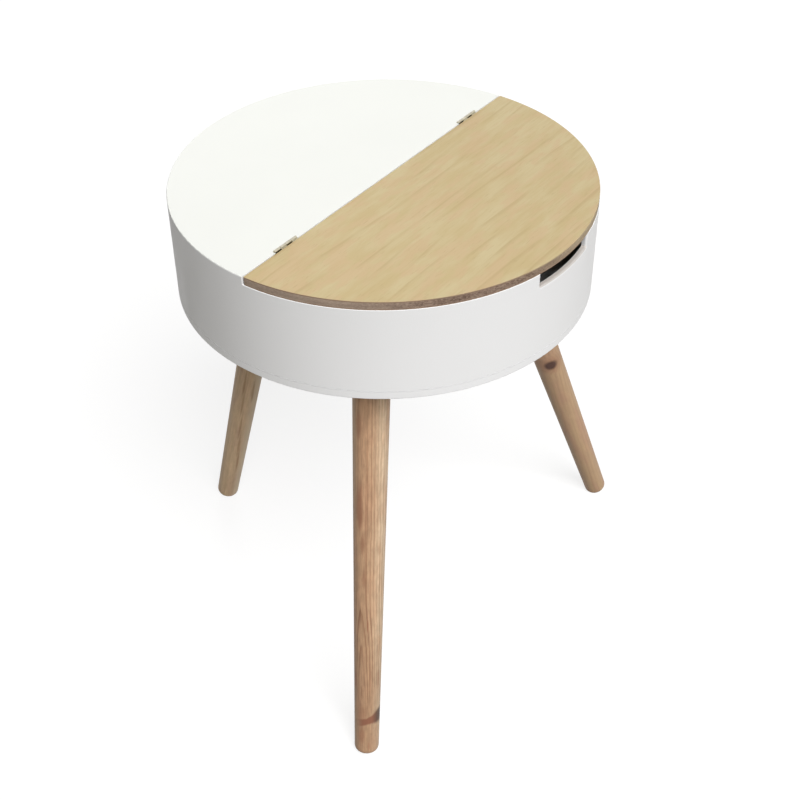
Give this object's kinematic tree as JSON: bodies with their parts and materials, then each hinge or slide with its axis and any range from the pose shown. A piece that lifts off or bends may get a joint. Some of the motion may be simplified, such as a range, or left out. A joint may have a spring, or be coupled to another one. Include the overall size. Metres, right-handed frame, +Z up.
{
  "type": "lift top end table",
  "caption": "Round white drum end table on splayed tapered pine legs; half of the top is a hinged oak-veneered lid over a shallow storage well, lifted at a finger slot.",
  "frame": {"origin": "on the drum's axis, in the plane of the floor", "axes": "+Z up along the drum's axis; X along the lid's hinge line; the lid covers the half towards -Y"},
  "size_m": [0.4956, 0.4437, 0.5137],
  "materials": {
    "white_lacquer": "satin white lacquer on fibreboard",
    "fibreboard": "raw fibreboard edge",
    "oak_veneer": "matt clear lacquer on pale oak veneer",
    "balancing_veneer": "matt clear lacquer on pale veneer",
    "pine": "matt clear lacquer on knotty pine",
    "beech": "bare beech",
    "zinc_steel": "bright zinc plate",
    "hinge_steel": "pale nickel plate"
  },
  "bodies": {
    "table": {"bottom_panel": "white_lacquer", "drum_wall": "white_lacquer", "fixed_top": "white_lacquer", "bottom_dowels": "beech", "top_dowels": "beech", "leg_plate_screws": "zinc_steel", "hinge_fixed_screws": "hinge_steel", "leg_front_left": "pine", "leg_plate_front_left": "zinc_steel", "hanger_bolt_front_left": "zinc_steel", "leg_front_right": "pine", "leg_plate_front_right": "zinc_steel", "hanger_bolt_front_right": "zinc_steel", "leg_rear": "pine", "leg_plate_rear": "zinc_steel", "hanger_bolt_rear": "zinc_steel", "hinge_fixed_leaf_left": "hinge_steel", "hinge_pin_left": "hinge_steel", "hinge_fixed_leaf_right": "hinge_steel", "hinge_pin_right": "hinge_steel"},
    "lid": {"lid_core": "fibreboard", "lid_top_veneer": "oak_veneer", "lid_balancing_veneer": "balancing_veneer", "hinge_lid_screws": "hinge_steel", "hinge_lid_leaf_left": "hinge_steel", "hinge_lid_leaf_right": "hinge_steel"}
  },
  "joints": [
    {"name": "lid_hinge", "type": "hinge", "parent": "table", "child": "lid", "pos_m": [0, 0.002, 0.5123], "axis": [-1, 0, 0], "range_deg": [0, 180]}
  ]
}
